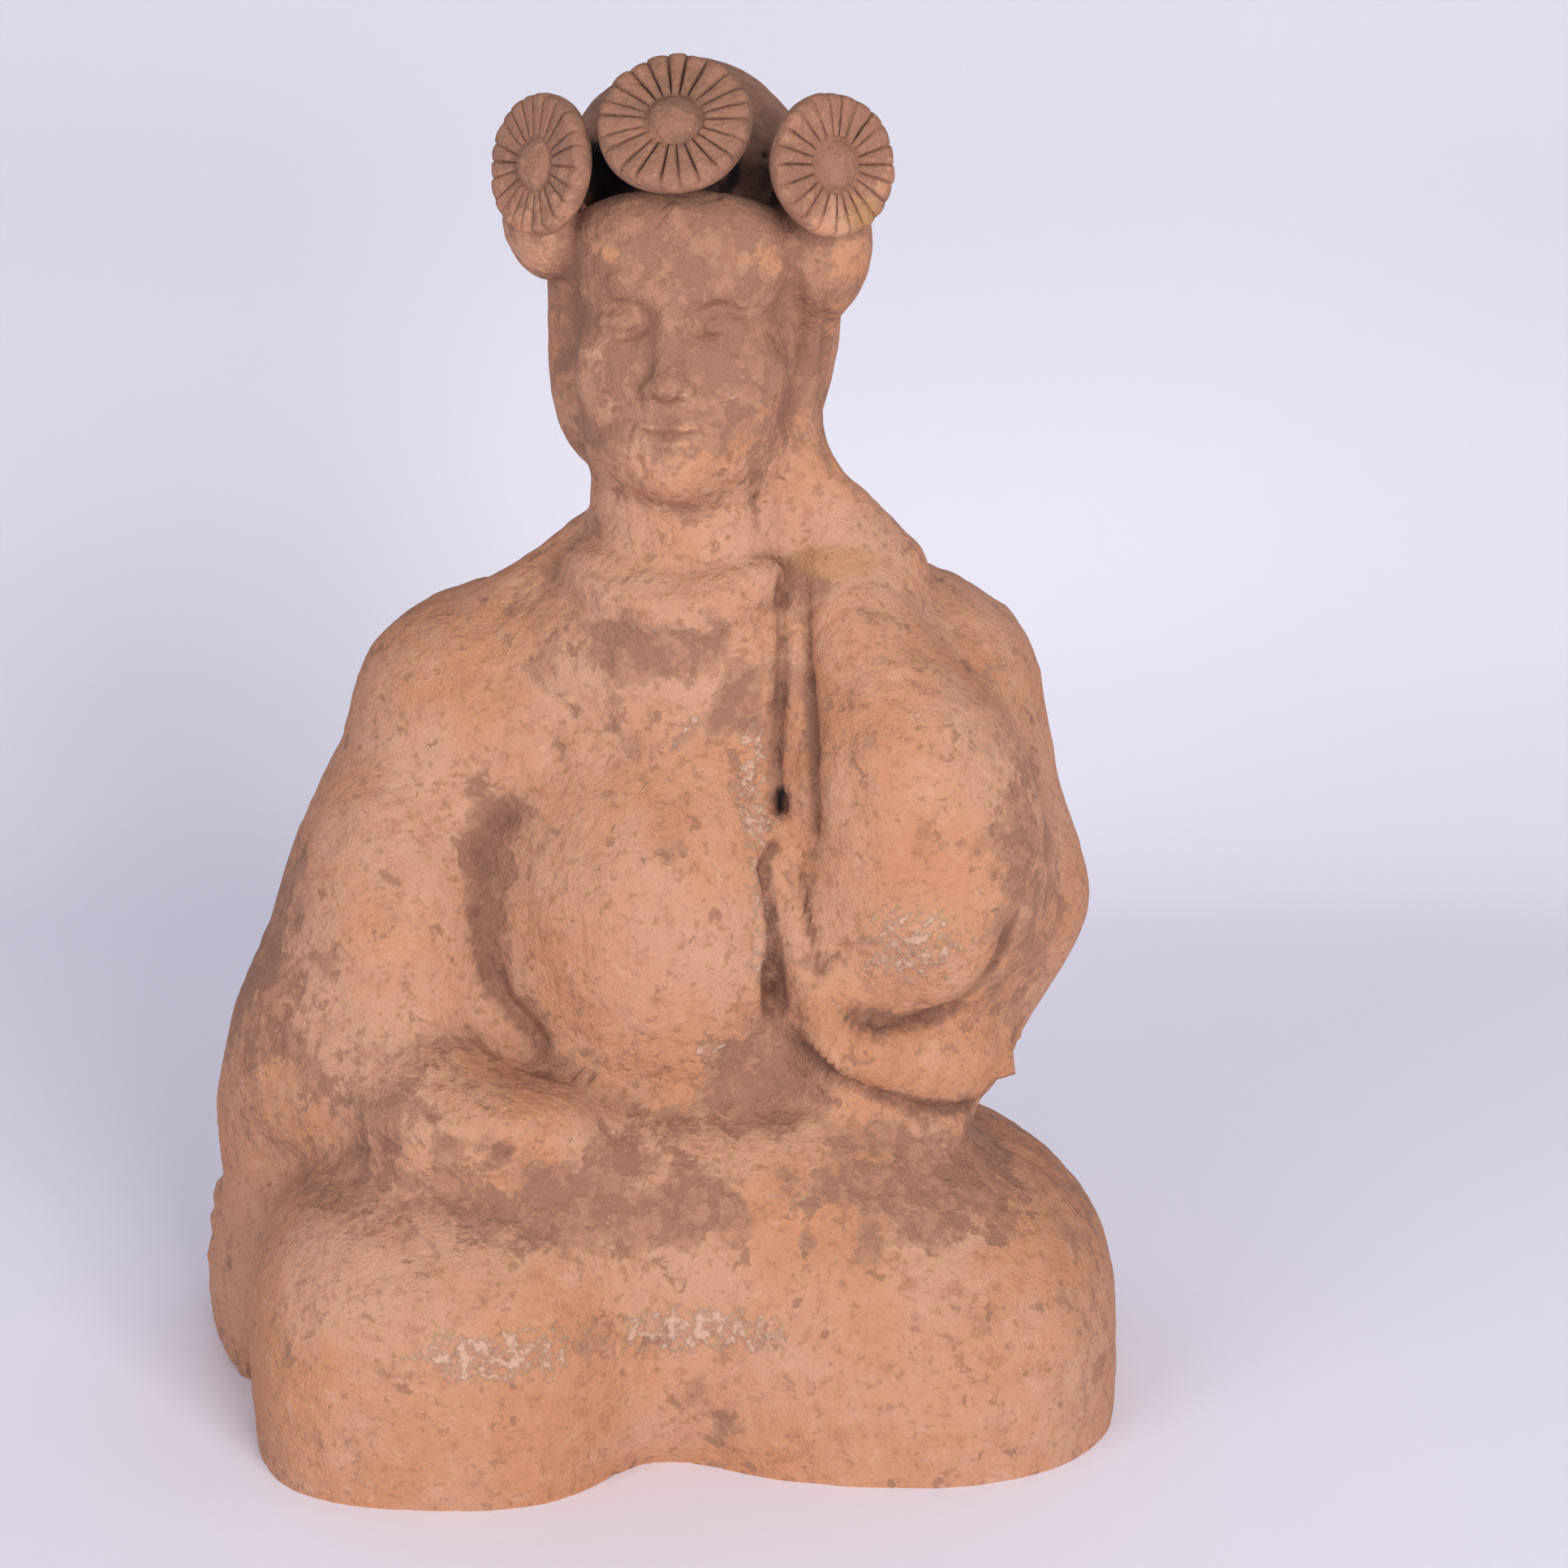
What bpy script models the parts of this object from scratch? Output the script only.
"""A seated pottery lady: right hand on her knee, left hand raised to her ear, three rosettes in her hair.

She is moulded and fired as one piece of clay, so the model is one closed solid. Metres, +Z up. She faces -Y,
and the origin is the middle of the flat underside.

The figure is drawn in drawing units, of which DRAWN_HEIGHT make her height, so one unit is a millimetre on the
real figure. Clay masses (eggs and tapered rolls) are blended into one field, creases and rolls of cloth are
pressed into it, and the skin is found by looking inwards along rays that climb her spine.
"""

import math

import bpy
import numpy as np
from mathutils import Euler, Matrix, Vector

# Driving dimensions, in metres.
FIGURE_HEIGHT = 0.390
ROSETTE_DIAMETER = 0.040
ROSETTE_THICKNESS = 0.0065
BOSS_DIAMETER = 0.0134
BOSS_HEIGHT = 0.0022
PETAL_GROOVE_DEPTH = 0.0013
PETALS = 22

# The drawing: its height in units, and the size of one unit.
DRAWN_HEIGHT = 390.0
UNIT = FIGURE_HEIGHT / DRAWN_HEIGHT

# How finely the skin and the rosettes are divided.
SKIN_COLUMNS = 70
SKIN_STEPS = 52
WALK_STEPS = 200
SETTLING_STEPS = 5
EVENING_STEPS = 16
SEGMENTS_A_PETAL = 3
HEAD_FINENESS = 1.8
FINE_FROM = 236.0
FRONT_FINENESS = 0.38
SMOOTH_ANGLE = math.radians(50)

# The clay: warm orange, dry and matt.
CLAY_COLOUR = (0.52, 0.25, 0.14, 1.0)
CLAY_ROUGHNESS = 0.92

NECK_HEIGHT = 262.0
SEARCH_START = 205.0
SEARCH_STEPS = 46
SEARCH_CAUTION = 0.72
PROBE = 0.5
LONGEST_STEP = 4.0

# The head has a frame of its own: where its axis stands, and how far it turns towards her right hand.
HEAD_AXIS = (8.0, -5.0)
HEAD_TURN = math.radians(-7.5)

# The spine that the rays climb: where each leaves it (x, y, z) and how steeply it points up, in degrees, to the
# sides and to front and back.
SPINE = (
    (0, -5, 0, 0, 0),
    (0, -5, 18, 24, 22),
    (3, -2, 32, 44, 38),
    (6, 0, 60, 50, 42),
    (8, 0, 100, 50, 30),
    (8, 0, 150, 46, 16),
    (8, -2, 214, 24, 8),
    (8, -6, NECK_HEIGHT, 0, 0),
    (8, -6, 330, 0, 0),
    (8, -2, 342, 45, 45),
    (8, 0, 345, 90, 90),
)


def egg(points, centre, radii, boxy=2.0):
    """Distance to an egg: how far the scaled radius is past 1, divided by its slope. Boxy over 2 squares it off."""
    scaled = np.abs(points - np.array(centre, float)) / np.array(radii, float) + 1e-9
    level = (scaled**boxy).sum(-1) ** (1 / boxy)
    slope = np.sqrt(((scaled ** (boxy - 1) / np.array(radii, float)) ** 2).sum(-1)) * level ** (1 - boxy)
    return (level - 1) / slope


def roll(points, start, end, start_radius, end_radius):
    """Distance to a roll of clay: distance to the line from start to end, less a radius that tapers along it."""
    start = np.array(start, float)
    along = np.array(end, float) - start
    share = np.clip(((points - start) @ along) / (along @ along), 0, 1)
    nearest = start + share[..., None] * along
    radius = start_radius + (end_radius - start_radius) * share
    return np.linalg.norm(points - nearest, axis=-1) - radius


def weld(first, second, softness):
    """Two masses as one: the smaller distance, lowered where they are within softness of each other."""
    near = np.maximum(softness - np.abs(first - second), 0) / softness
    return np.minimum(first, second) - near * near * softness / 4


def scoop(mass, tool, softness):
    """A mass with the tool's shape taken out of it."""
    return -weld(-mass, tool, softness)


def welded(points, masses):
    """Welds (distance function, its values, softness) in turn."""
    total = None
    for shape, values, softness in masses:
        distance = shape(points, *values)
        total = distance if total is None else weld(total, distance, softness)
    return total


LEGS = (
    (egg, ((-60, -32, 24), (58, 76, 62), 2.9), 1),
    (egg, ((68, -22, 12), (70, 68, 70), 2.4), 20),
    (egg, ((0, -34, 36), (88, 47, 50), 2.4), 22),
    (egg, ((2, -36, 68), (84, 34, 34), 2.4), 24),
    (egg, ((-4, 20, 20), (136, 70, 60), 2.6), 18),
)

TORSO = (
    (egg, ((4, 6, 112), (86, 56, 62), 2.2), 1),
    (egg, ((4, 8, 180), (76, 50, 66), 2.2), 30),
    (egg, ((0, -14, 148), (47, 50, 60), 2.1), 12),
    (egg, ((-51, 8, 202), (38, 34, 35), 2.0), 22),
    (egg, ((67, 8, 204), (40, 36, 42), 2.0), 24),
    (egg, ((6, -8, 226), (42, 36, 27), 2.0), 20),
)

RESTING_ARM = (
    (roll, ((-59, 6, 198), (-90, -2, 108), 32.5, 32), 1),
    (roll, ((-90, -2, 108), (-98, 2, 76), 32, 35), 12),
    (roll, ((-98, 2, 76), (-104, 5, 14), 35, 34), 12),
    (egg, ((-76, -16, 132), (33, 38, 58), 2.0), 20),
    (roll, ((-94, -18, 100), (-64, -54, 98), 31, 20), 18),
    (egg, ((-48, -62, 97), (33, 20, 14), 2.2), 12),
)

RAISED_ARM = (
    (roll, ((72, 8, 203), (88, -4, 150), 39.5, 35), 1),
    (roll, ((44, -8, 256), (72, 3, 212), 13, 33), 12),
    (roll, ((88, -4, 150), (80, -14, 114), 35, 26), 10),
)

HANGING_SLEEVE = (
    (egg, ((74, -32, 168), (36, 32, 47), 2.2), 1),
    (roll, ((66, -37, 203), (50, -17, 246), 26, 16), 20),
)

SLEEVE_HEM = (
    (roll, ((42, -46, 150), (54, -50, 119), 8, 11), 1),
    (roll, ((54, -50, 119), (86, -36, 112), 11, 12), 12),
    (egg, ((62, -30, 100), (32, 25, 24), 2.0), 10),
)

NECK = (
    (roll, ((8, -6, 236), (8, -8, 276), 32, 29), 1),
    (roll, ((-44, 0, 231), (-24, 2, 251), 10, 8), 10),
)

COLLAR = ((-24, -18, 251), (-12, -33, 245), (8, -39.5, 241), (30, -36, 250))

RAISED_HAND = (
    (roll, ((60, -12, 246), (35, -14, 280), 16, 8), 1),
    (roll, ((36, -14, 280), (34, -14, 322), 9, 9.5), 8),
    (roll, ((35, -14, 314), (42, -22, 338), 10, 13), 8),
)

# The head's masses and the face, in the head's frame: x to her left, y back, z up. The face follows the usual
# thirds: hairline, brow, nose, chin.
HEAD = (
    (egg, ((0, -2, 313), (33, 42, 47), 2.1), 1),
    (egg, ((0, -12, 340), (31, 31, 19), 2.6), 8),
    (egg, ((0, -13, 288), (26, 31, 20), 2.0), 14),
    (egg, ((-27, 6, 312), (15, 26, 37), 2.4), 5),
    (egg, ((24, 6, 312), (12, 26, 37), 2.4), 5),
    (egg, ((0, 17, 322), (37, 38, 44), 2.0), 12),
    (egg, ((-5, 16, 345.5), (38, 38, 43.4), 2.0), 12),
)

BROW_HEIGHT, EYE_HEIGHT, NOSE_HEIGHT, MOUTH_HEIGHT, CHIN_HEIGHT = 328, 320, 300, 291, 273
EYE_SPACING = 12.8

FACE = (
    (roll, ((0, -40, BROW_HEIGHT - 3), (0, -47.5, NOSE_HEIGHT + 6), 3.0, 4.4), 4),
    (egg, ((0, -45, NOSE_HEIGHT + 3.5), (7.4, 6.0, 4.2), 2.0), 2),
    (egg, ((-EYE_SPACING, -34.5, EYE_HEIGHT), (8.2, 6.6, 5.2), 2.0), 2),
    (egg, ((EYE_SPACING, -34.5, EYE_HEIGHT), (8.2, 6.6, 5.2), 2.0), 2),
    (roll, ((-5, -40, BROW_HEIGHT), (-20, -33, BROW_HEIGHT), 2.6, 2.2), 5),
    (roll, ((5, -40, BROW_HEIGHT), (20, -33, BROW_HEIGHT), 2.6, 2.2), 5),
    (egg, ((-15, -29, NOSE_HEIGHT + 4), (10, 9, 10), 2.0), 7),
    (egg, ((15, -29, NOSE_HEIGHT + 4), (10, 9, 10), 2.0), 7),
    (egg, ((0, -42, MOUTH_HEIGHT + 1.8), (9.0, 3.6, 1.9), 2.0), 1.5),
    (egg, ((0, -41.5, MOUTH_HEIGHT - 2.2), (7.5, 3.6, 2.1), 2.0), 1.5),
    (egg, ((0, -35, CHIN_HEIGHT + 6), (8, 8, 6), 2.0), 6),
)

BUNS = (
    (egg, ((-37, -17, 347), (14, 16, 18)), 4),
    (roll, ((-30, -8, 350), (-31.4, -32.4, 360.2), 11, 10.5), 3),
    (egg, ((38, -15, 340), (15, 16, 24)), 4),
    (roll, ((34, -8, 352), (39.3, -29.9, 361.7), 11, 10.5), 3),
    (roll, ((0, -8, 360), (1.2, -38, 367.2), 11, 10.5), 3),
)

# Where the three rosettes sit in the head's frame: middle of the back, turn about Z and lean back in degrees, and
# how large each is beside the driving diameter.
ROSETTES = {
    "rosette_middle": ((1.5, -43, 370.8), 3.5, 36, 1.03),
    "rosette_right": ((-32.6, -38.5, 360.9), -36.5, 7, 0.95),
    "rosette_left": ((40.5, -36, 362.4), 42.5, 7, 0.95),
}

# The hair is sunk behind the hairline: an arch of one tool stroke over the forehead, in the head's frame.
HAIRLINE_RADIUS = 12.5
HAIRLINE = ((-38, -7, 351), (-25, -16, 361), (0, -20, 366), (25, -16, 361), (38, -7, 351))


def along_path(knots, count):
    """Points along a smooth curve through the knots: a cubic between each two, with tangents from their neighbours."""
    knots = np.array(knots, float)
    padded = np.vstack([2 * knots[0] - knots[1], knots, 2 * knots[-1] - knots[-2]])
    place = np.linspace(0, len(knots) - 1, count)
    leg = np.minimum(place.astype(int), len(knots) - 2)
    t = (place - leg)[:, None]
    before, start, end, after = (padded[leg + step] for step in range(4))
    slope_in, slope_out = (end - before) / 2, (after - start) / 2
    return (
        (2 * t**3 - 3 * t**2 + 1) * start
        + (t**3 - 2 * t**2 + t) * slope_in
        + (3 * t**2 - 2 * t**3) * end
        + (t**3 - t**2) * slope_out
    )


# Creases and hems seen from the front: knots (x, z), width, and depth (less than zero raises the clay).
CREASES = (
    (((-39, 243), (-21, 218), (-3, 196)), 3.5, 1.2),
    (((-3, 196), (12, 214)), 3.5, 1.2),
    (((-37, 202), (-48, 174), (-46, 149), (-34, 127), (-19, 109)), 6, 3.0),
    (((33, 254), (32.5, 225), (33, 191), (32, 165), (33, 142), (36, 130)), 3.5, 3.5),
    (((40, 257), (42, 230), (43, 205), (43, 189)), 3.5, 3.0),
    (((43, 189), (46, 160), (54, 140)), 3.5, 2.5),
    (((52, 137), (62, 129), (76, 127), (92, 136), (104, 152), (108, 173), (107, 186)), 5, 3.0),
    (((33, 141), (34, 130)), 6, 5.0),
    (((-84, 98), (-60, 96), (-34, 98)), 5, 2.0),
)


def pressed(points, path, width, depth):
    """How far a crease is pressed in: its depth, falling off as a bell with the distance from its path in front view."""
    line = along_path([(x, 0, z) for x, z in path], 3 * len(path))
    across = points * (1, 0, 1)
    gap = np.full(len(points), 1e3)
    for start, end in zip(line[:-1], line[1:]):
        gap = np.minimum(gap, roll(across, start, end, 0, 0))
    front = 1 / (1 + np.exp((points[:, 1] + 18) / 5))
    return depth * front * np.exp(-((gap / width) ** 2))


def head_frame(points):
    """Points as the head's own frame has them: moved to its axis and turned back."""
    x, y = points[:, 0] - HEAD_AXIS[0], points[:, 1] - HEAD_AXIS[1]
    c, s = math.cos(HEAD_TURN), math.sin(HEAD_TURN)
    return np.stack([c * x + s * y, c * y - s * x, points[:, 2]], axis=-1)


def head_field(points):
    """Distance to the head with its face, sunk hairline and the three buns that carry the rosettes."""
    local = head_frame(points)
    head = welded(local, HEAD)
    for shape, values, softness in FACE:
        head = weld(head, shape(local, *values), softness)
    arch = along_path(HAIRLINE, 9)
    stroke = np.full(len(local), 1e3)
    for start, end in zip(arch[:-1], arch[1:]):
        stroke = np.minimum(stroke, roll(local, start, end, HAIRLINE_RADIUS, HAIRLINE_RADIUS))
    head = scoop(head, stroke, 3)
    for shape, values, softness in BUNS:
        head = weld(head, shape(local, *values), softness)
    return head


def body_field(points):
    """Distance to everything below the chin, with its creases."""
    clay = weld(welded(points, LEGS), welded(points, TORSO), 8)
    clay = weld(clay, welded(points, RESTING_ARM), 10)
    clay = weld(clay, welded(points, RAISED_ARM), 6)
    clay = weld(clay, welded(points, SLEEVE_HEM), 9)
    clay = weld(clay, welded(points, HANGING_SLEEVE), 9)
    clay = weld(clay, welded(points, NECK), 12)
    collar = along_path(COLLAR, 7)
    for start, end in zip(collar[:-1], collar[1:]):
        clay = weld(clay, roll(points, start, end, 3.6, 3.6), 9)
    for path, width, depth in CREASES:
        clay = clay + pressed(points, path, width, depth)
    return clay


def figure_field(points):
    """Distance to the clay, in drawing units: less than zero inside it."""
    head = weld(head_field(points), welded(points, RAISED_HAND), 5)
    return weld(body_field(points), head, 7)


def spine_at(share, angle):
    """Where on the spine a ray starts and how steeply it climbs, for shares of the way up and turns about Z."""
    stops = np.array(SPINE, float)
    reach = np.concatenate([[0], np.cumsum(np.linalg.norm(np.diff(stops * (1, 1, 1, 1.6, 0), axis=0), axis=1))])
    reach /= reach[-1]
    x, y, z, side, front = (np.interp(share, reach, stops[:, k]) for k in range(5))
    return np.stack([x, y, z], axis=-1), np.radians(side + (front - side) * np.cos(angle) ** 2)


def find_skin(share, angle):
    """The skin where rays meet it: each is followed from outside towards the spine, by the field's own distance.

    share is how far up the spine a ray starts and angle its turn about Z, both arrays of one shape.
    """
    start, climb = spine_at(share, angle)
    away = np.stack([np.sin(angle) * np.cos(climb), -np.cos(angle) * np.cos(climb), np.sin(climb)], axis=-1)
    start, away = start.reshape(-1, 3), away.reshape(-1, 3)
    out = np.full(len(start), SEARCH_START)
    for _ in range(SEARCH_STEPS):
        out -= SEARCH_CAUTION * figure_field(start + out[:, None] * away)
    return (start + out[:, None] * away).reshape(share.shape + (3,))


def walk_meridians(columns, rows, walk_rows, fineness):
    """Shares of the spine that space each meridian's points evenly, and finer by fineness on the head."""
    angle = np.arange(columns) * 2 * math.pi / columns
    angle = angle - FRONT_FINENESS * np.sin(angle)
    share = np.linspace(0, 1, walk_rows)
    skin = find_skin(*np.meshgrid(share, angle, indexing="ij"))
    steps = np.linalg.norm(np.diff(skin, axis=0), axis=-1)
    on_head = 1 / (1 + np.exp(-(skin[1:, :, 2] - FINE_FROM) / 6))
    walked = np.cumsum(steps * (1 + (fineness - 1) * on_head), axis=0)
    walked = np.vstack([np.zeros(columns), walked]) / walked[-1]
    even = np.linspace(0, 1, rows)
    shares = np.stack([np.interp(even, walked[:, k], share) for k in range(columns)], axis=1)
    for _ in range(3):
        shares = (np.roll(shares, 1, axis=1) + 2 * shares + np.roll(shares, -1, axis=1)) / 4
    return shares, np.broadcast_to(angle, shares.shape)


def onto_skin(points):
    """Points moved to the skin: a step down the field's slope, from its values at the corners of a small tetrahedron."""
    corners = np.array([(1, -1, -1), (-1, -1, 1), (-1, 1, -1), (1, 1, 1)], float)
    flat = points.reshape(-1, 3)
    values = figure_field((flat[None] + PROBE * corners[:, None]).reshape(-1, 3)).reshape(4, -1)
    slope = np.einsum("ki,kj->ij", values, corners) / (4 * PROBE)
    step = values.mean(0)[:, None] * slope / np.maximum((slope**2).sum(-1), 0.2)[:, None]
    step *= np.minimum(1, LONGEST_STEP / np.maximum(np.linalg.norm(step, axis=-1), 1e-6))[:, None]
    return (flat - step).reshape(points.shape)


def evened(skin, rounds, settling):
    """The grid of points evened out: each goes half way to the mean of its four neighbours, then back to the skin.

    The first rounds, as many as settling, leave out the way back, so that steps in the grid close up.
    """
    for turn in range(rounds):
        inner = skin[1:-1]
        beside = np.roll(inner, 1, axis=1) + np.roll(inner, -1, axis=1)
        inner = (inner + (skin[:-2] + skin[2:] + beside) / 4) / 2
        skin[1:-1] = inner if turn < settling else onto_skin(inner)
    skin[1:-1] = onto_skin(skin[1:-1])
    return skin


def skin_mesh():
    """The figure without its rosettes: rings of points from the underside's edge to the crown, closed at both ends."""
    skin = find_skin(*walk_meridians(SKIN_COLUMNS, SKIN_STEPS, WALK_STEPS, HEAD_FINENESS))
    skin[0, :, 2] = 0
    skin = evened(skin, EVENING_STEPS, SETTLING_STEPS)
    rows, columns = skin.shape[:2]
    number = np.arange(rows * columns).reshape(rows, columns)
    around = np.roll(number, -1, axis=1)
    quads = np.stack([number[:-2], around[:-2], around[1:-1], number[1:-1]], axis=-1).reshape(-1, 4)
    crown = number[-1, 0]
    cap = [(a, b, crown) for a, b in zip(number[-2], around[-2])]
    used = skin.reshape(-1, 3)[: crown + 1] * UNIT
    mesh = bpy.data.meshes.new("figure")
    mesh.from_pydata(used.tolist(), [], [tuple(q) for q in quads.tolist()] + cap + [tuple(number[0, ::-1].tolist())])
    return mesh


def rosette_mesh():
    """A petalled disc with a raised boss, its back at Z = 0: rings of points, each a radius and a height by angle."""
    radius, boss = ROSETTE_DIAMETER / 2, BOSS_DIAMETER / 2
    count = PETALS * SEGMENTS_A_PETAL
    angle = np.arange(count) * 2 * math.pi / count
    petal = np.abs(np.sin(angle * PETALS / 2))
    scallop = 1 - 0.045 * (1 - petal) ** 2
    groove = PETAL_GROOVE_DEPTH * (1 - petal) ** 2
    top = ROSETTE_THICKNESS
    rings = (
        (0.93 * radius * scallop, 0 * angle),
        (1.00 * radius * scallop, 0.50 * top + 0 * angle),
        (0.93 * radius * scallop, 0.97 * top - groove),
        (1.20 * boss + 0 * angle, top - groove),
        (1.02 * boss + 0 * angle, 0.80 * top + 0 * angle),
        (0.84 * boss + 0 * angle, top + 0.5 * BOSS_HEIGHT + 0 * angle),
        (0.50 * boss + 0 * angle, top + BOSS_HEIGHT + 0 * angle),
    )
    points = np.array([np.stack([r * np.cos(angle), r * np.sin(angle), h], axis=-1) for r, h in rings])
    number = np.arange(len(rings) * count).reshape(len(rings), count)
    around = np.roll(number, -1, axis=1)
    quads = np.stack([number[:-1], around[:-1], around[1:], number[1:]], axis=-1).reshape(-1, 4)
    faces = [tuple(q) for q in quads.tolist()]
    faces += [tuple(number[0, ::-1].tolist()), tuple(number[-1].tolist())]
    mesh = bpy.data.meshes.new("rosette")
    mesh.from_pydata(points.reshape(-1, 3).tolist(), [], faces)
    return mesh


def placed(name, mesh):
    """A new object of the scene with this mesh."""
    thing = bpy.data.objects.new(name, mesh)
    bpy.context.scene.collection.objects.link(thing)
    return thing


def clay():
    """Matt orange fired clay."""
    material = bpy.data.materials.new("fired_clay")
    material.use_nodes = True
    shader = material.node_tree.nodes["Principled BSDF"]
    shader.inputs["Base Color"].default_value = CLAY_COLOUR
    shader.inputs["Roughness"].default_value = CLAY_ROUGHNESS
    shader.inputs["Metallic"].default_value = 0.0
    return material


def main():
    for thing in list(bpy.data.objects):
        bpy.data.objects.remove(thing)
    figure = placed("figure", skin_mesh())
    figure.data.materials.append(clay())
    corners = np.array([vertex.co for vertex in figure.data.vertices])
    middle = (corners.min(axis=0) + corners.max(axis=0)) / 2
    centring = Matrix.Translation((-middle[0], -middle[1], 0))
    figure.data.transform(centring)
    disc = rosette_mesh()
    head = centring @ Matrix.Translation(Vector((*HEAD_AXIS, 0)) * UNIT) @ Matrix.Rotation(HEAD_TURN, 4, "Z")
    for name, (back, turn, lean, size) in ROSETTES.items():
        rosette = placed(name, disc)
        facing = Euler((math.radians(90 - lean), 0, math.radians(turn))).to_matrix().to_4x4()
        rosette.matrix_world = head @ Matrix.Translation(Vector(back) * UNIT) @ facing @ Matrix.Scale(size, 4)
        rosette.hide_render = True
        rosette.display_type = "WIRE"
        rosette.parent = figure
        join = figure.modifiers.new("join_" + name, "BOOLEAN")
        join.operation = "UNION"
        join.solver = "EXACT"
        join.object = rosette
    figure.data.shade_smooth()
    figure.data.set_sharp_from_angle(angle=SMOOTH_ANGLE)


main()
